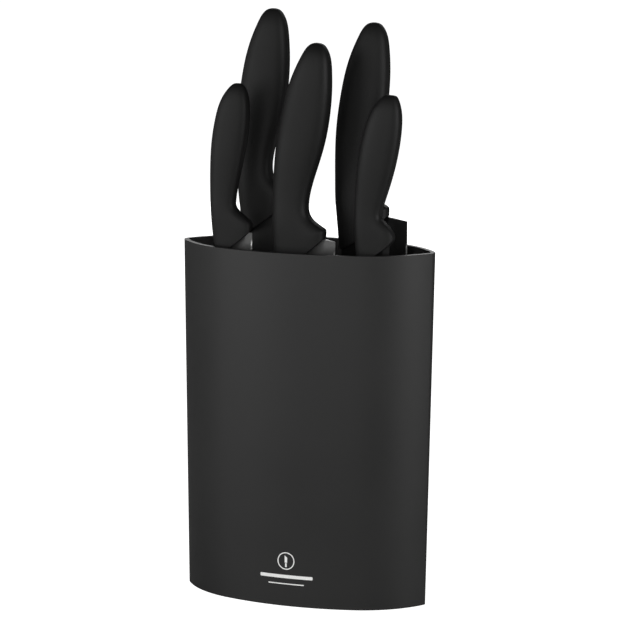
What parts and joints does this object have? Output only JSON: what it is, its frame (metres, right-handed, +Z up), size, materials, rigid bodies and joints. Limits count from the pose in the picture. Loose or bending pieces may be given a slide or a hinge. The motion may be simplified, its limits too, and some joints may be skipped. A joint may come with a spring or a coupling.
{
  "type": "knife block with knives",
  "caption": "Lens-shaped upright knife block with a lift-out slotted insert, holding kitchen knives by their blades with curved grips standing above the rim.",
  "frame": {"origin": "middle of the block's footprint, on the surface that it stands on", "axes": "+X along the block's length, the way that every cutting edge faces, +Y towards the back, +Z up"},
  "size_m": [0.1476, 0.068, 0.33],
  "materials": {
    "shell_plastic": "matt soft-touch moulded plastic",
    "base_plastic": "fine moulded texture",
    "mat_rubber": "soft rubber sheet",
    "foot_rubber": "matt rubber",
    "screw_steel": "bright zinc",
    "insert_plastic": "matt moulded plastic",
    "coated_blade": "black satin non-stick coating, bare ground edge",
    "handle_core_plastic": "hard moulded plastic",
    "soft_grip": "matt soft-touch overmould"
  },
  "bodies": {
    "block": {"outer_shell": "shell_plastic", "base_plate": "base_plastic", "tip_mat": "mat_rubber", "base_screws": "screw_steel", "foot_pad_1": "foot_rubber", "foot_pad_2": "foot_rubber", "foot_pad_3": "foot_rubber", "foot_pad_4": "foot_rubber"},
    "insert": {"slot_deck": "insert_plastic", "lower_guide": "insert_plastic", "spacer_post_left": "insert_plastic", "spacer_post_right": "insert_plastic", "insert_screws": "screw_steel"},
    "bread_knife": {"bread_knife_blade": "coated_blade", "bread_knife_handle_core": "handle_core_plastic", "bread_knife_grip": "soft_grip"},
    "chef_knife": {"chef_knife_blade": "coated_blade", "chef_knife_handle_core": "handle_core_plastic", "chef_knife_grip": "soft_grip"},
    "santoku_knife": {"santoku_knife_blade": "coated_blade", "santoku_knife_handle_core": "handle_core_plastic", "santoku_knife_grip": "soft_grip"},
    "utility_knife": {"utility_knife_blade": "coated_blade", "utility_knife_handle_core": "handle_core_plastic", "utility_knife_grip": "soft_grip"},
    "paring_knife": {"paring_knife_blade": "coated_blade", "paring_knife_handle_core": "handle_core_plastic", "paring_knife_grip": "soft_grip"}
  },
  "joints": [
    {"name": "insert_lift", "type": "slide", "parent": "block", "child": "insert", "axis": [0, 0, 1], "range_m": [0, 0.2]},
    {"name": "bread_knife_draw", "type": "slide", "parent": "insert", "child": "bread_knife", "axis": [-0.0096, 0, 1], "range_m": [0, 0.2]},
    {"name": "chef_knife_draw", "type": "slide", "parent": "insert", "child": "chef_knife", "axis": [0, 0, 1], "range_m": [0, 0.2]},
    {"name": "santoku_knife_draw", "type": "slide", "parent": "insert", "child": "santoku_knife", "axis": [0.0384, 0, 0.9993], "range_m": [0, 0.175]},
    {"name": "utility_knife_draw", "type": "slide", "parent": "insert", "child": "utility_knife", "axis": [0, 0, 1], "range_m": [0, 0.13]},
    {"name": "paring_knife_draw", "type": "slide", "parent": "insert", "child": "paring_knife", "axis": [0.0523, 0, 0.9986], "range_m": [0, 0.1]}
  ]
}
